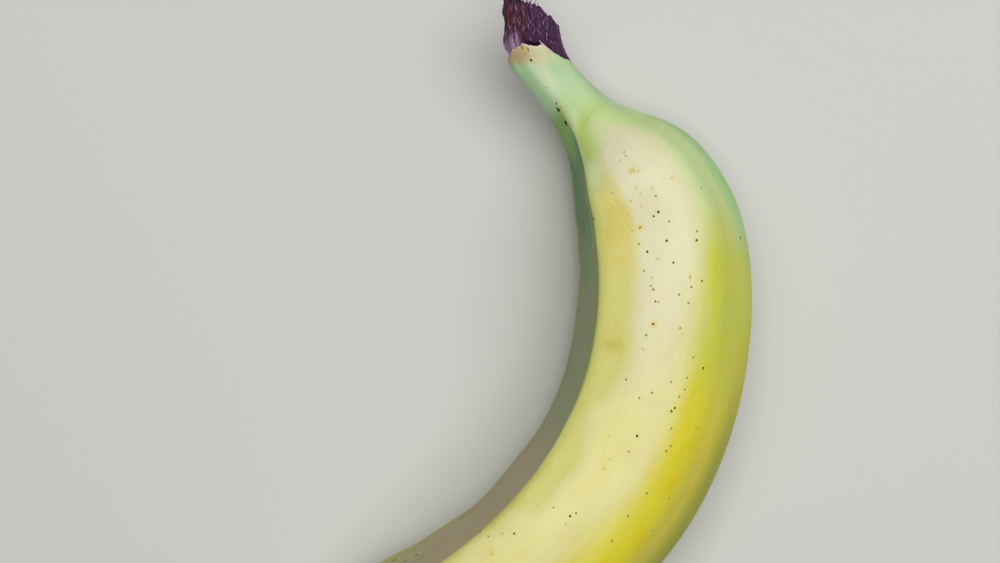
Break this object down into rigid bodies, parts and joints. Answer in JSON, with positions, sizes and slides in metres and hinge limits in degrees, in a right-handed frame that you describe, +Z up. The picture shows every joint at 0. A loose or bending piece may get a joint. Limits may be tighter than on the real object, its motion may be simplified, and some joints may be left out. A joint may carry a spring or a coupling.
{
  "type": "banana",
  "caption": "Ripe banana lying on its side: bent five-sided body, green stalk torn off in a frayed fibrous stub, dry blossom end.",
  "frame": {"origin": "on the ground, under the middle of the fruit's bounding box", "axes": "+Y towards the torn stalk, +X towards the outer side of the bend, +Z up from the ground"},
  "size_m": [0.1034, 0.1534, 0.0383],
  "materials": {
    "banana_peel": "waxy satin peel, yellow on the body and pale green at the stalk, with small brown freckles"
  },
  "bodies": {
    "root": {"banana": "banana_peel"}
  },
  "joints": []
}
